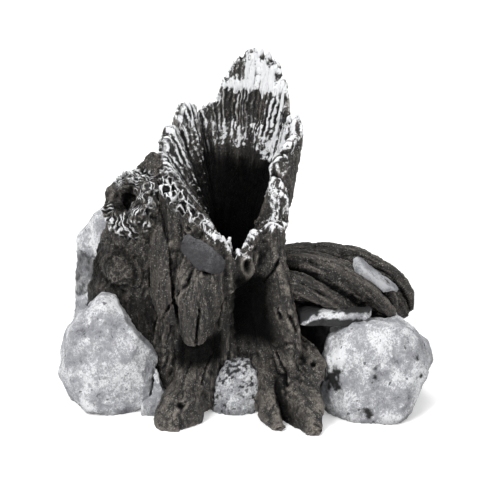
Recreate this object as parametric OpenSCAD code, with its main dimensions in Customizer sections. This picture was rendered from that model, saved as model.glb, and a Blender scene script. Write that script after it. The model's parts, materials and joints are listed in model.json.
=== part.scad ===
// Bubbling aquarium ornament: a hollow burnt tree stump among boulders, with an air stone
// that feeds bubbles out of the broken mouth. Millimetres, +Z up, front towards -Y.
// The origin is on the tank floor, under the middle of the ornament.

/* [Stump] */
// Height of the tallest splinter of the rim
stump_h = 148; // [138:1:160]
// Height of the front lip of the mouth
lip_h = 73; // [68:1:80]
// Height of the rim behind the mouth, under the splinters
rear_rim_h = 125; // [118:1:132]
// Radius of the trunk at its waist
column_r = 24.5; // [23:0.5:28]
// How far the mouth opens out beyond the waist
mouth_flare = 7.5; // [5:0.5:9]
// How far the foot spreads beyond the waist, between the roots
foot_flare = 5; // [3:0.5:8]
// Wall of the trunk at the waist
wall_t = 8.5; // [7:0.5:10]
// Wall at the rim
rim_t = 4.5; // [3.5:0.25:6]
// Radius of the throat below the mouth
throat_r = 10.5; // [9.5:0.25:12]
// Depth of the bark's furrows
bark_depth = 1; // [0.5:0.1:1.4]

/* [Roots] */
// Reach of the front left root beyond the trunk
left_root_reach = 26; // [20:1:30]
// Reach of the front right root before its toes
right_root_reach = 16; // [12:1:20]
// Reach of the inner toe beyond the front right root
toe_reach = 25; // [18:1:28]
// Reach of the roots behind the trunk
rear_root_reach = 12; // [8:1:16]

/* [Bark plates] */
// Thickness of a lifted plate of bark
plate_t = 3; // [2:0.25:4]

/* [Limbs] */
// Radius of the rear limb where it leaves the trunk
upper_limb_r = 13; // [11:0.5:15]
// Radius of the front limb where it leaves the trunk
lower_limb_r = 13; // [11:0.5:15]
// Reach of the limbs from the trunk's bark
limb_reach = 56; // [48:1:62]
// Radius of the burl on the left shoulder, at the floor
burl_r = 27; // [24:0.5:30]
// Height of the burl
burl_h = 110; // [104:1:118]

/* [Stones] */
// Width of the left boulder
left_boulder_w = 47; // [42:1:52]
// Width of the right boulder
right_boulder_w = 50; // [44:1:56]
// Width of the stone behind the burl
rear_left_boulder_w = 44; // [38:1:50]
// Width of the stone behind the limbs
rear_boulder_w = 46; // [40:1:52]
// Width of the stone between the front roots
front_boulder_w = 34; // [30:1:38]
// Distance of the left boulder's middle from the bark
left_boulder_out = 15; // [12:0.5:20]
// Distance of the right boulder's middle from the bark
right_boulder_out = 40; // [36:0.5:44]
// Distance of the middle of the stone behind the burl from the bark
rear_left_boulder_out = 25.5; // [22:0.5:28]
// Distance of the middle of the stone behind the limbs from the bark
rear_boulder_out = 20; // [16:0.5:24]

/* [Air unit] */
// Bore of the air port in the rear wall
port_bore = 22; // [20:0.5:24]
// Wall of the port bush
bush_wall = 2; // [1.5:0.25:3]
// Height of the port's axis above the floor
port_z = 17; // [16.5:0.5:20]
// Diameter of the air stone
air_stone_d = 16; // [12:0.5:18]
// Length of the air stone
air_stone_len = 18; // [14:1:20]
// Outside diameter of the airline spigot
spigot_d = 4.9; // [4.5:0.1:5.5]
// Length of the spigot behind the bung
spigot_len = 11; // [9:0.5:13]

/* [Fits] */
// Glue line between bonded castings
bond_gap = 0.3; // [0.25:0.05:0.5]
// Running clearance of the bung in its bush, on the radius
slide_gap = 0.06; // [0.04:0.01:0.1]
// Clearance of pieces that are pushed together, on the radius
push_gap = 0.05; // [0.03:0.01:0.1]

/* [Hidden] */

// The trunk's axis on the floor
axis = [-6.83, 3.84];
// Steps round the stump, crowded towards its front by so many degrees, and up its outside and inside
stump_sides = 92;
front_bearing = 285;
front_crowding = 22;
outer_steps = 24;
inner_steps = 12;
// Steps round and along a limb or the burl
limb_sides = 20;
limb_steps = 14;
// Depth below the floor to which cutters reach
under = 8;
// Height at which a stone's distance from the bark is taken
stone_seat = 12;

charcoal = "#3a3733";
umber = "#4a443c";
granite = "#b9bbbf";
slate = "#8d9096";
rubber = "#222223";
clear_grey = "#d9dcd8";
cap_blue = "#2c4d86";
stone_blue = "#7f8ea8";

// Small helpers

function total(list, i = 0) = i < len(list) ? list[i] + total(list, i + 1) : 0;
function middle(pts) = [for (k = [0:2]) total([for (p = pts) p[k]]) / len(pts)];
function ease(t) = let (c = min(max(t, 0), 1)) c * c * (3 - 2 * c);
function turn_gap(a, b) = (a - b + 900) % 360 - 180;
function lobe(a, mid, half, blunt = 2) = exp(-pow(abs(turn_gap(a, mid)) / half, blunt));
function tooth(a, mid, half, blunt = 0.6) = let (d = abs(turn_gap(a, mid)) / half)
    d < 1 ? pow(cos(90 * d), blunt) : 0;
function unit(v) = v / norm(v);
function bezier(p, t) = pow(1 - t, 3) * p[0] + 3 * pow(1 - t, 2) * t * p[1]
    + 3 * (1 - t) * t * t * p[2] + t * t * t * p[3];

// A closed skin over a stack of rings of points, each ring turning the same way.
// A looped skin joins its last ring to its first, and an open one is closed by a fan at each end.
module skin(rings, looped = false, tips = undef) {
    n = len(rings[0]);
    m = len(rings);
    ends = is_undef(tips) ? [middle(rings[0]), middle(rings[m - 1])] : tips;
    sides = [for (i = [0 : looped ? m - 1 : m - 2]) for (j = [0 : n - 1])
        let (a = i * n + j, b = i * n + (j + 1) % n, up = ((i + 1) % m) * n)
        each [[a, up + (j + 1) % n, b], [a, up + j, up + (j + 1) % n]]];
    fans = looped ? [] : [for (j = [0 : n - 1])
        each [[m * n, j, (j + 1) % n], [m * n + 1, (m - 1) * n + (j + 1) % n, (m - 1) * n + j]]];
    polyhedron([each [for (r = rings) each r], each looped ? [] : ends], [each sides, each fans]);
}

// Joins and cuts sculpted surfaces into one surface, at the size that they have
module carved() {
    resize([0, 0, 0]) children();
}

module below_floor() {
    translate([-300, -300, -100]) cube([600, 600, 100]);
}

// The stump's form, by bearing a (0 to the right, 90 behind) and height z

// Height of the rim: a mouth that slopes from its front lip to the rear, with splinters standing on it.
// Each smaller splinter has a bearing, a half width and a height.
lip_bearing = 281;
lip_half = 6;
tall_bearing = 54;
tall_half = [26, 45];
tall_blunt = 0.55;
splinters = [[131, 12, 9], [156, 12, 8], [12, 17, 22], [3, 38, 19]];
function slope_z(a) = lip_h + (rear_rim_h - lip_h)
    * pow(max(0, abs(turn_gap(a, lip_bearing)) - lip_half) / (180 - lip_half), 0.8);
function rim_z(a) = slope_z(a) + max([for (s = splinters) s[2] * tooth(a, s[0], s[1])]) + 0.8 * sin(a * 11)
    + (stump_h - slope_z(tall_bearing))
    * tooth(a, tall_bearing, turn_gap(a, tall_bearing) < 0 ? tall_half[0] : tall_half[1], tall_blunt);

flare_h = 60;
function foot(z) = foot_flare * pow(max(0, 1 - z / flare_h), 2);
function flare(z) = mouth_flare * ease((z - lip_h - 4) / 38);

// The right front wall opens out in a flap, and leans in above it, over a knob on its outside
flap_out = 3;
function flap(a, z) = flap_out * lobe(a, 318, 13) * exp(-pow((z - lip_h - 13) / 11, 2));
lean_in = 7;
function lean(a, z) = flap(a, z) - lean_in * lobe(a, 338, 14) * ease((z - lip_h - 17) / 16);
knob_out = 2.5;
function knob(a, z) = knob_out * lobe(a, 348, 16) * exp(-pow((z - lip_h - 20) / 9, 2));

// Roots: bearing on the floor, turn of the bearing as it climbs, half width, reach, height, how steep, how blunt
root_turn_h = 45;
roots = [[242, 2.5, 12, left_root_reach, 62, 2, 3], [302, 15, 8.5, right_root_reach, 92, 1.1, 2],
    [293.7, 15, 4.4, toe_reach, 30, 1.2, 2.6], [305.3, 37, 5, toe_reach, 44, 0.9, 2.6],
    [319, 0, 12, toe_reach * 0.42, 100, 0.8, 2],
    [58, 0, 15, rear_root_reach, 55, 1.8, 2], [128, 0, 16, rear_root_reach * 0.8, 55, 1.8, 2],
    [206, 0, 26, rear_root_reach * 1.25, 110, 0.7, 2]];
root_knob_out = 6;
function root_knob(a, z) = root_knob_out * lobe(a, 325, 9) * exp(-pow((z - 24) / 9, 2));
function root_out(a, z) = total([for (r = roots)
    r[3] * lobe(a, r[0] + r[1] * ease(z / root_turn_h), r[2], r[6]) * pow(max(0, 1 - z / r[4]), r[5])]);

// The shoulder of bark over the front left root, and the dark hollow between the front roots
shoulder_out = 10;
shoulder_z = 57;
function shoulder(a, z) = shoulder_out * lobe(a, 243, 21) * exp(-pow((z - shoulder_z) / 17, 2));
hollow_depth = 10.5;
hollow_h = 64;
function hollow_in(a, z) = hollow_depth * lobe(a, 286, 17) * (0.57 + 0.43 * ease((z - 26) / 16))
    * (1 - ease((z - hollow_h + 22) / 22));

function bark(a, z) = bark_depth * (0.55 * sin(9 * a + 60 * sin(2.1 * z)) + 0.45 * sin(20 * a + 50 * sin(1.7 * z)));
function trunk_r(a, z) = column_r + foot(z) + flare(z) + lean(a, z) + knob(a, z) + root_out(a, z)
    + root_knob(a, z) + shoulder(a, z) - hollow_in(a, z);
function outer_r(a, z) = trunk_r(a, z) + bark(a, z);

// The inside: a chamber round the air stone, a throat set a little to the right, and a funnel up to the rim
chamber_h = 27;
throat_shift = 3;
function throat(a) = throat_r + throat_shift * cos(a);
function throat_z(a) = min(lip_h + 7, rim_z(a) - 12);
function mouth_r(a) = let (z = rim_z(a)) column_r + flare(z) + lean(a, z) - rim_t;
function flutes(a, t) = bark_depth * 1.3 * sin(13 * a) * ease(t * 2);
function inner_r(a, z) = let (t = (z - throat_z(a)) / (rim_z(a) - throat_z(a)), chamber = column_r - wall_t)
    t > 0 ? throat(a) + (mouth_r(a) - throat(a)) * pow(t, 0.85) + flutes(a, t)
    : chamber + (throat(a) - chamber) * ease((z - chamber_h) / 18);

function at(a, r, z) = [axis.x + r * cos(a), axis.y + r * sin(a), z];
function on_bark(a, z, out = 0) = at(a, trunk_r(a, z) + out, z);
function bearings() = [for (j = [0 : stump_sides - 1]) let (a = j * 360 / stump_sides)
    a - front_crowding * sin(a - front_bearing)];

// The stump as a plug without its hollow, grown by a glue line, for seating what is bonded to it
module stump_plug(grow) {
    heights = [0 : outer_steps];
    skin([[for (a = bearings()) at(a, outer_r(a, 0) + grow, -under)],
        for (i = heights) [for (a = bearings()) let (z = rim_z(a) * i / outer_steps)
            at(a, outer_r(a, z) + grow, z + grow * i / outer_steps)]]);
}

module stump_shell() {
    outside = [for (i = [0 : outer_steps]) [for (a = bearings()) let (z = rim_z(a) * i / outer_steps)
        at(a, outer_r(a, z), z)]];
    inside = [for (i = [inner_steps : -1 : 0]) [for (a = bearings()) let (z = rim_z(a) * i / inner_steps)
        at(a, inner_r(a, z), z)]];
    color(charcoal) carved() difference() {
        skin([each outside, each inside], looped = true);
        port_hole();
    }
}

// Plates of bark that lift off the stump: bearing, height, half width in degrees, half height,
// lean of the sides in degrees, and fall of the top and bottom from left to right
plate_steps = 8;
plate_lift = 0.35;
module bark_plate(bearing, height, half_a, half_z, lean, tilt, grow = 0) {
    grid = [for (i = [-plate_steps / 2 : plate_steps / 2]) i * 2 / plate_steps];
    wider = 1 + grow / half_z;
    seat = grow > 0 ? -plate_t : bark_depth + bond_gap + plate_lift;
    function place(u, v, out) = let (a = bearing + wider * half_a * u * (1 - 0.25 * v * v) + lean * v,
        z = height - tilt * u + wider * half_z * v * (1 - 0.2 * u * u)) on_bark(a, z, out);
    function rise(u, v) = bark_depth + bond_gap + plate_lift + grow
        + plate_t * (0.25 + 0.75 * (1 - pow(abs(u), 3)) * (1 - pow(abs(v), 3)));
    skin([for (v = grid) [each [for (u = grid) place(u, v, rise(u, v))],
        each [for (k = [len(grid) - 1 : -1 : 0]) place(grid[k], v, seat)]]]);
}

module left_plate_form(grow = 0) { bark_plate(213, lip_h - 12, 15, 21, -6, 4, grow); }
module bark_plate_left() { color(umber) left_plate_form(); }
module bark_plate_front() { color(umber) bark_plate(248.5, lip_h - 25.5, 14, 15.5, 6, 1); }
module lip_scale() { color(slate) bark_plate(249, lip_h - 0.5, 19, 5.5, 0, 4); }

// Limbs: a swept round form along a curve, fluted and twisted, with a blunt end

function limb_rings(path, radius, flutes, twist, start, deep, grow) = [for (i = [0 : limb_steps])
    let (t = i / limb_steps, here = bezier(path, t),
        along = unit(bezier(path, min(1, t + 0.02)) - bezier(path, max(0, t - 0.02))),
        across = unit(cross([0, -0.4, 1], along)), rise = cross(along, across),
        end = t > 0.8 ? sqrt(1 - 0.85 * pow((t - 0.8) / 0.2, 2)) : 1)
    [for (j = [0 : limb_sides - 1]) let (f = j * 360 / limb_sides,
        r = radius * (1 - 0.35 * t) * end * (1 + deep * cos(flutes * f + twist * t + start)) + grow)
        here + r * (cos(f) * across + sin(f) * rise)]];

function upper_limb_path() = let (root = on_bark(8, 50))
    [root - [upper_limb_r, 0, 0], root + [limb_reach * 0.35, 2, 6],
        root + [limb_reach * 0.7, 4, 3], root + [limb_reach, 3, -18]];
module upper_limb_form(grow = 0) {
    skin(limb_rings(upper_limb_path(), upper_limb_r, 4, -300, 0, 0.17, grow));
}

function lower_limb_path() = let (root = on_bark(342, 50))
    [root - [lower_limb_r * 0.4, -1, 1], root + [limb_reach * 0.3, 0, 4],
        root + [limb_reach * 0.6, 0, -2], root + [limb_reach * 0.88, 2, -13]];
module lower_limb_form(grow = 0) {
    skin(limb_rings(lower_limb_path(), lower_limb_r, 4, -515, -106, 0.18, grow));
}

module upper_limb() {
    color(umber) carved() difference() {
        upper_limb_form();
        stump_plug(bond_gap);
    }
}

module lower_limb() {
    color(umber) carved() difference() {
        lower_limb_form();
        stump_plug(bond_gap);
        upper_limb_form(bond_gap);
    }
}

// The burl: a leaning dome on the left shoulder of the stump, with the scar of a broken branch and a knot

burl_lean = 8;
burl_depth = 0.8;
burl_taper = 0.68;
function burl_axis(z) = on_bark(178, 40, 12) + [burl_lean * pow(z / burl_h, 2), 0, z - 40];
function burl_out(z) = burl_r * pow(max(0, 1 - pow(z / burl_h, 2)), burl_taper);
module burl_form(grow = 0) {
    function ring(z, s) = [for (j = [0 : limb_sides - 1]) let (f = j * 360 / limb_sides,
        r = burl_out(z) * (1 + 0.04 * sin(5 * f + 3 * z)) + grow)
        burl_axis(s) + [r * cos(f), burl_depth * r * sin(f), 0]];
    heights = [for (k = [0 : limb_steps - 1]) burl_h * sin(90 * k / limb_steps)];
    skin([ring(0, -under), for (z = heights) ring(z, z)], tips = [burl_axis(-under), burl_axis(burl_h + grow)]);
}

scar_z = 82;
scar_bearing = 232;
scar_pitch = 34;
scar_r = 12;
scar_hole_r = 5.5;
scar_rise = 2;
knot_z = 60;
knot_r = 10;
module on_scar() {
    translate(burl_axis(scar_z)) rotate([0, 90 - scar_pitch, scar_bearing]) translate([0, 0, burl_out(scar_z)])
        children();
}

module left_burl() {
    color(umber) carved() difference() {
        union() {
            burl_form();
            on_scar() translate([0, 0, -10]) cylinder(h = 10 + scar_rise, r1 = scar_r * 1.3, r2 = scar_r, $fn = 22);
            translate(burl_axis(knot_z) + (burl_out(knot_z) - 5) * [-0.45, -0.8, 0]) sphere(r = knot_r, $fn = 16);
        }
        on_scar() translate([0, 0, -5])
            cylinder(h = 6 + scar_rise, r1 = scar_hole_r * 0.6, r2 = scar_hole_r * 1.2, $fn = 16);
        stump_plug(bond_gap);
        left_plate_form(bond_gap);
        below_floor();
    }
}

// Stones: a ball chipped flat by facets.
// Each facet has a bearing, a pitch and a distance from the middle, as a share of the stone's width,
// and round is the ball's radius as such a share, which takes off the corners that the facets leave.

module half_space(reach) {
    far = 120;
    translate([-far, -far, reach - 2 * far]) cube(2 * far);
}

module stone(place, width, facets, round, grow = 0) {
    translate(place) intersection() {
        sphere(r = width * round + grow, $fn = 26);
        intersection_for(f = facets) rotate([0, 90 - f[1], f[0]]) half_space(width * f[2] + grow);
    }
}

left_boulder_facets = [[0, 35, 0.36], [352, -8, 0.47], [318, 12, 0.44], [283, -6, 0.44], [275, 28, 0.41],
    [245, 5, 0.42], [232, 45, 0.44], [208, -18, 0.49], [190, 12, 0.42], [172, 42, 0.42], [150, 78, 0.54],
    [30, 70, 0.52], [100, 15, 0.45], [60, 20, 0.45], [140, 5, 0.45], [300, 55, 0.47]];
function left_boulder_place() = on_bark(196.5, stone_seat, left_boulder_out) + [0, 0, left_boulder_w * 0.26];
module left_boulder_form(grow = 0) {
    stone(left_boulder_place(), left_boulder_w, left_boulder_facets, 0.65, grow);
}

right_boulder_facets = [[180, 12, 0.46], [225, 2, 0.48], [262, 10, 0.4], [290, 30, 0.43], [250, 48, 0.44],
    [320, -4, 0.46], [345, 20, 0.45], [350, -25, 0.43], [10, 50, 0.45], [60, 86, 0.44], [90, 8, 0.42],
    [130, 20, 0.46], [45, 15, 0.46], [200, 45, 0.47]];
function right_boulder_place() = on_bark(343, stone_seat, right_boulder_out) + [0, 0, right_boulder_w * 0.1];
module right_boulder_form(grow = 0) {
    stone(right_boulder_place(), right_boulder_w, right_boulder_facets, 0.6, grow);
}

rear_left_boulder_facets = [[180, 2, 0.48], [180, 36, 0.72], [130, 8, 0.47], [85, 12, 0.42], [60, 40, 0.7],
    [262, 24, 0.62], [190, 70, 1.02], [100, 70, 0.95], [0, 0, 0.45], [215, 14, 0.5], [160, 56, 0.86],
    [230, 50, 0.86], [155, -20, 0.52], [268, -8, 0.68]];
function rear_left_boulder_place() = on_bark(156, stone_seat, rear_left_boulder_out)
    + [0, 0, rear_left_boulder_w * 0.55];
module rear_left_boulder_form(grow = 0) {
    stone(rear_left_boulder_place(), rear_left_boulder_w, rear_left_boulder_facets, 1.04, grow);
}

rear_boulder_facets = [[0, 12, 0.48], [40, 2, 0.46], [85, 14, 0.42], [130, 6, 0.44], [60, 50, 0.47],
    [180, 20, 0.45], [300, 10, 0.46], [20, 80, 0.53], [150, 55, 0.5], [105, 40, 0.46], [20, 35, 0.5]];
function rear_boulder_place() = on_bark(31, stone_seat, rear_boulder_out) + [0, 0, rear_boulder_w * 0.09];
module rear_boulder_form(grow = 0) {
    stone(rear_boulder_place(), rear_boulder_w, rear_boulder_facets, 0.57, grow);
}

front_boulder_facets = [[270, 8, 0.32], [225, 14, 0.42], [315, 12, 0.44], [180, 40, 0.44], [0, 38, 0.44],
    [270, 52, 0.46], [90, 0, 0.4], [90, 80, 0.5], [240, 42, 0.46], [305, 40, 0.46]];
function front_boulder_place() = on_bark(279, stone_seat, 0) - [0, 0, front_boulder_w * 0.2];
module front_boulder_form(grow = 0) {
    stone(front_boulder_place(), front_boulder_w, front_boulder_facets, 0.55, grow);
}

module left_boulder() {
    color(granite) carved() difference() {
        left_boulder_form();
        stump_plug(bond_gap);
        burl_form(bond_gap);
        rear_left_boulder_form(bond_gap);
        below_floor();
    }
}

shard_w = 10;
shard_facets = [[0, 20, 0.5], [180, 10, 0.5], [270, 20, 0.6], [90, 0, 0.6], [30, 70, 1.5], [150, 60, 1.4]];
module left_shard() {
    color(granite) carved() difference() {
        stone(on_bark(219, stone_seat, shard_w * 0.3) - [0, 0, shard_w * 0.6], shard_w, shard_facets, 1.8);
        left_boulder_form(bond_gap);
        rear_left_boulder_form(bond_gap);
        stump_plug(bond_gap);
        below_floor();
    }
}

module rear_left_boulder() {
    color(granite) carved() difference() {
        rear_left_boulder_form();
        stump_plug(bond_gap);
        burl_form(bond_gap);
        below_floor();
    }
}

module right_boulder() {
    color(granite) carved() difference() {
        right_boulder_form();
        stump_plug(bond_gap);
        lower_limb_form(bond_gap);
        below_floor();
    }
}

module rear_boulder() {
    color(granite) carved() difference() {
        rear_boulder_form();
        stump_plug(bond_gap);
        upper_limb_form(bond_gap);
        lower_limb_form(bond_gap);
        right_boulder_form(bond_gap);
        below_floor();
    }
}

module front_boulder() {
    color(granite) carved() difference() {
        front_boulder_form();
        stump_plug(bond_gap);
        below_floor();
    }
}

// A pale stone wedged between the two limbs, and a ledge of stone under the front limb
limb_stone_w = 28;
limb_stone_facets = [[0, -36, 0.42], [180, 36, 0.42], [0, 54, 0.17], [180, -54, 0.17], [270, 10, 0.3], [90, 0, 0.35],
    [310, -20, 0.36], [220, 30, 0.36]];
module limb_stone() {
    color(slate) carved() difference() {
        stone((bezier(upper_limb_path(), 0.72) + bezier(lower_limb_path(), 0.78)) / 2 + [-1, -2, 6],
            limb_stone_w, limb_stone_facets, 0.45);
        upper_limb_form(bond_gap);
        lower_limb_form(bond_gap);
        rear_boulder_form(bond_gap);
        right_boulder_form(bond_gap);
    }
}

ledge_w = 36;
ledge_facets = [[0, 0, 0.5], [180, 0, 0.5], [270, 10, 0.3], [300, 0, 0.42], [90, 0, 0.1],
    [0, 90, 0.12], [0, -90, 0.05]];
module ledge_stone() {
    color(slate) carved() difference() {
        stone(bezier(lower_limb_path(), 0.45) + [0, -5, -lower_limb_r + 3], ledge_w, ledge_facets, 0.5);
        lower_limb_form(bond_gap);
        right_boulder_form(bond_gap);
        stump_plug(bond_gap);
    }
}

// Air unit: a bush bonded in the rear wall, and a bung that carries the spigot and the air stone.
// Its axis runs along Y, and turned pieces are drawn along Z from the face of the bush.

port_bearing = 90;
bush_r = port_bore / 2 + bush_wall;
bush_flange_t = 2;
flange_rim = 2.5;
bush_face = outer_r(port_bearing, port_z) + bark_depth + 2.2;
bush_len = bush_face - inner_r(port_bearing, port_z) + 1;
bung_r = port_bore / 2 - slide_gap;
bung_head_z = bush_flange_t + bond_gap;
bung_head_t = 3;
bung_face = bung_head_z + bung_head_t;
stem_d = spigot_d + 1.1;
stem_bore = 2.4;
stem_shoulder = bung_face + 0.5;
spigot_tip = 1;
tip_chamfer = 0.6;
cap_t = 4;
cap_z = -bush_len - 3 - cap_t;
through = 1;

module on_port() {
    translate([axis.x, axis.y + bush_face, port_z]) rotate([-90, 0, 0]) children();
}

module port_hole() {
    on_port() translate([0, 0, -bush_len - 20]) cylinder(h = bush_len + 60, r = bush_r + bond_gap, $fn = 40);
}

module port_bush() {
    color(rubber) on_port() difference() {
        union() {
            translate([0, 0, -bush_len]) cylinder(h = bush_len, r = bush_r, $fn = 64);
            cylinder(h = bush_flange_t, r = bush_r + flange_rim, $fn = 64);
        }
        translate([0, 0, -bush_len - through])
            cylinder(h = bush_len + bush_flange_t + 2 * through, r = port_bore / 2, $fn = 64);
    }
}

module air_bung() {
    color(rubber) on_port() difference() {
        union() {
            translate([0, 0, -bush_len]) cylinder(h = bush_len + bung_head_z, r = bung_r, $fn = 64);
            translate([0, 0, bung_head_z]) cylinder(h = bung_head_t, r = bush_r + flange_rim - 1, $fn = 64);
        }
        translate([0, 0, -bush_len - through])
            cylinder(h = bush_len + bung_face + 2 * through, r = stem_d / 2 + push_gap, $fn = 48);
    }
}

module air_stem() {
    spigot_end = stem_shoulder + spigot_len;
    color(clear_grey) on_port() rotate_extrude($fn = 48) polygon([[stem_bore / 2, cap_z], [stem_d / 2, cap_z],
        [stem_d / 2, stem_shoulder], [spigot_d / 2, stem_shoulder], [spigot_d / 2, spigot_end - spigot_tip],
        [spigot_d / 2 - tip_chamfer, spigot_end], [stem_bore / 2, spigot_end]]);
}

module stone_cap() {
    color(cap_blue) on_port() translate([0, 0, cap_z]) difference() {
        cylinder(h = cap_t, r = air_stone_d / 2, $fn = 48);
        translate([0, 0, -through]) cylinder(h = cap_t + 2 * through, r = stem_d / 2 + push_gap, $fn = 48);
    }
}

module air_stone() {
    color(stone_blue) on_port() translate([0, 0, cap_z - air_stone_len]) difference() {
        cylinder(h = air_stone_len, r = air_stone_d / 2, $fn = 48);
        translate([0, 0, air_stone_len * 0.4]) cylinder(h = air_stone_len, r = stem_bore / 2, $fn = 32);
    }
}

stump_shell();
bark_plate_left();
bark_plate_front();
lip_scale();
left_burl();
upper_limb();
lower_limb();
limb_stone();
ledge_stone();
left_boulder();
left_shard();
rear_left_boulder();
rear_boulder();
front_boulder();
right_boulder();
port_bush();
air_bung();
air_stem();
stone_cap();
air_stone();
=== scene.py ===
import json
import math

import bpy
import numpy as np
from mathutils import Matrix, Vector, noise

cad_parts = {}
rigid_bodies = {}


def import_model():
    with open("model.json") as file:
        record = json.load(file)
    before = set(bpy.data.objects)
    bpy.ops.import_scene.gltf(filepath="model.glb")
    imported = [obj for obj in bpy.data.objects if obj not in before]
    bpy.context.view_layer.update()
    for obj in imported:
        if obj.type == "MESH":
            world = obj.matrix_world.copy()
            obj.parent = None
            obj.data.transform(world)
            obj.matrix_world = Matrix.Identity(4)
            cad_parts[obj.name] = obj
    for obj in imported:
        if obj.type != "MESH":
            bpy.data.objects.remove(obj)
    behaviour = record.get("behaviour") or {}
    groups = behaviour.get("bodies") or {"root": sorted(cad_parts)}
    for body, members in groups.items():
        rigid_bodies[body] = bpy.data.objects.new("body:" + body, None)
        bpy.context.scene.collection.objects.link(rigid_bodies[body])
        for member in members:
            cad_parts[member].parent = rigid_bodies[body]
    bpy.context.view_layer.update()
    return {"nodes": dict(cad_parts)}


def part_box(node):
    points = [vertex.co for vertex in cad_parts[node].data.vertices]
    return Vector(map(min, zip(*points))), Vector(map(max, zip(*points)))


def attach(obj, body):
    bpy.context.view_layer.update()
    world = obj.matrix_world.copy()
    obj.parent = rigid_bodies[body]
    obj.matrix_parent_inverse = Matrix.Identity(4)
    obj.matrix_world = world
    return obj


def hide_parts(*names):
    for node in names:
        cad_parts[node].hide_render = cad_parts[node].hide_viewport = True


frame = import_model()

MM = 0.001


# Camera: the photograph looks down by about 20 degrees from 800 mm, and a pixel is 0.4377 mm at the stump

LOOK_DOWN = math.radians(20)
CAMERA_DISTANCE = 0.8
PIXEL = 0.4377 * MM
PHOTO_WIDTH = 500
AIM = Vector((2.47, -4.16, 67.5)) * MM

camera_data = bpy.data.cameras.new("camera")
camera_data.sensor_width = 36
camera_data.lens = CAMERA_DISTANCE / PIXEL / PHOTO_WIDTH * camera_data.sensor_width
camera_data.clip_start = 0.01
camera_data.clip_end = 20
camera = bpy.data.objects.new("camera", camera_data)
bpy.context.collection.objects.link(camera)
camera.location = AIM + Vector((0, -math.cos(LOOK_DOWN), math.sin(LOOK_DOWN))) * CAMERA_DISTANCE
camera.rotation_euler = (math.pi / 2 - LOOK_DOWN, 0, 0)
bpy.context.scene.camera = camera


# Colours and nodes

def paint(code):
    """An sRGB hex colour as linear red, green, blue and alpha."""
    parts = [int(code[i:i + 2], 16) / 255 for i in (1, 3, 5)]
    return [c / 12.92 if c <= 0.04045 else ((c + 0.055) / 1.055) ** 2.4 for c in parts] + [1]


def add(tree, kind, settings=None, out=0, **inputs):
    """Adds a node and gives back one of its outputs. An input that is given an output is linked to it,
    and i6 stands for the input with the number 6, where names repeat."""
    node = tree.nodes.new(kind)
    for name, value in (settings or {}).items():
        setattr(node, name, value)
    for name, value in inputs.items():
        key = int(name[1:]) if name[0] == "i" and name[1:].isdigit() else name.replace("_", " ")
        if isinstance(value, bpy.types.NodeSocket):
            tree.links.new(value, node.inputs[key])
        else:
            node.inputs[key].default_value = value
    return node.outputs[out]


def new_finish(name):
    """An empty material, its tree, its shader and its Object coordinates in metres."""
    material = bpy.data.materials.new(name)
    material.use_nodes = True
    tree = material.node_tree
    tree.nodes.clear()
    shader = tree.nodes.new("ShaderNodeBsdfPrincipled")
    output = tree.nodes.new("ShaderNodeOutputMaterial")
    tree.links.new(shader.outputs[0], output.inputs[0])
    return material, tree, shader, add(tree, "ShaderNodeTexCoord", out="Object")


# Light: a large soft key from the upper left, a fill from the right, a top light, and a pale floor

STUDIO_LIGHT = 0.36
FLOOR_RADIUS = 4


def soft_lamp(name, place, aim, size, watts):
    """A round area lamp that looks at its aim."""
    lamp = bpy.data.lights.new(name, "AREA")
    lamp.shape = "DISK"
    lamp.size = size
    lamp.energy = watts
    holder = bpy.data.objects.new(name, lamp)
    bpy.context.collection.objects.link(holder)
    holder.location = place
    holder.rotation_euler = (Vector(aim) - Vector(place)).to_track_quat("-Z", "Y").to_euler()


soft_lamp("key", place=(-0.45, -0.55, 0.75), aim=(0, 0, 0.06), size=0.4, watts=8.2)
soft_lamp("fill", place=(0.7, -0.5, 0.35), aim=(0, 0, 0.05), size=0.6, watts=2.0)
soft_lamp("top", place=(0.05, 0.25, 0.9), aim=(0, 0, 0.07), size=0.6, watts=4.5)

world = bpy.data.worlds.new("studio")
bpy.context.scene.world = world
world.use_nodes = True
world.node_tree.nodes["Background"].inputs["Color"].default_value = paint("#ffffff")
world.node_tree.nodes["Background"].inputs["Strength"].default_value = STUDIO_LIGHT
bpy.context.scene.view_settings.view_transform = "Standard"

bpy.ops.object.select_all(action="DESELECT")
bpy.ops.mesh.primitive_circle_add(vertices=64, radius=FLOOR_RADIUS, fill_type="NGON")
floor = bpy.context.active_object
floor.name = "studio_floor"


def finish_studio_floor():
    """White paper: matt, and lifted for the camera so that only the shadow shows on it."""
    material, tree, shader, place = new_finish("white_paper")
    shader.inputs["Base Color"].default_value = paint("#f4f4f4")
    shader.inputs["Roughness"].default_value = 1.0
    shader.inputs["Specular IOR Level"].default_value = 0.0
    seen = add(tree, "ShaderNodeLightPath", out="Is Camera Ray")
    # The lift grows from 0.35 m to 1 m from the ornament, where the lamps fade
    reach = add(tree, "ShaderNodeVectorMath", {"operation": "LENGTH"}, out="Value", i0=place)
    grown = add(tree, "ShaderNodeMapRange", Value=reach, From_Min=0.35, From_Max=1.0, To_Min=0.3, To_Max=0.8)
    lift = add(tree, "ShaderNodeMath", {"operation": "MULTIPLY"}, i0=seen, i1=grown)
    shader.inputs["Emission Color"].default_value = paint("#ffffff")
    tree.links.new(lift, shader.inputs["Emission Strength"])
    return material


floor.data.materials.append(finish_studio_floor())


# The stump's form, as in the part's source: bearing 0 is to the right and 90 behind, sizes in millimetres

AXIS = np.array([-6.83, 3.84])
LIP_H, REAR_RIM_H, STUMP_H = 73, 125, 148
LIP_BEARING, LIP_HALF, SLOPE_CURVE = 281, 6, 0.8
# The tall splinter has a half width to its right and to its left
TALL_BEARING, TALL_HALF, TALL_BLUNT = 54, (26, 45), 0.55
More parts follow.
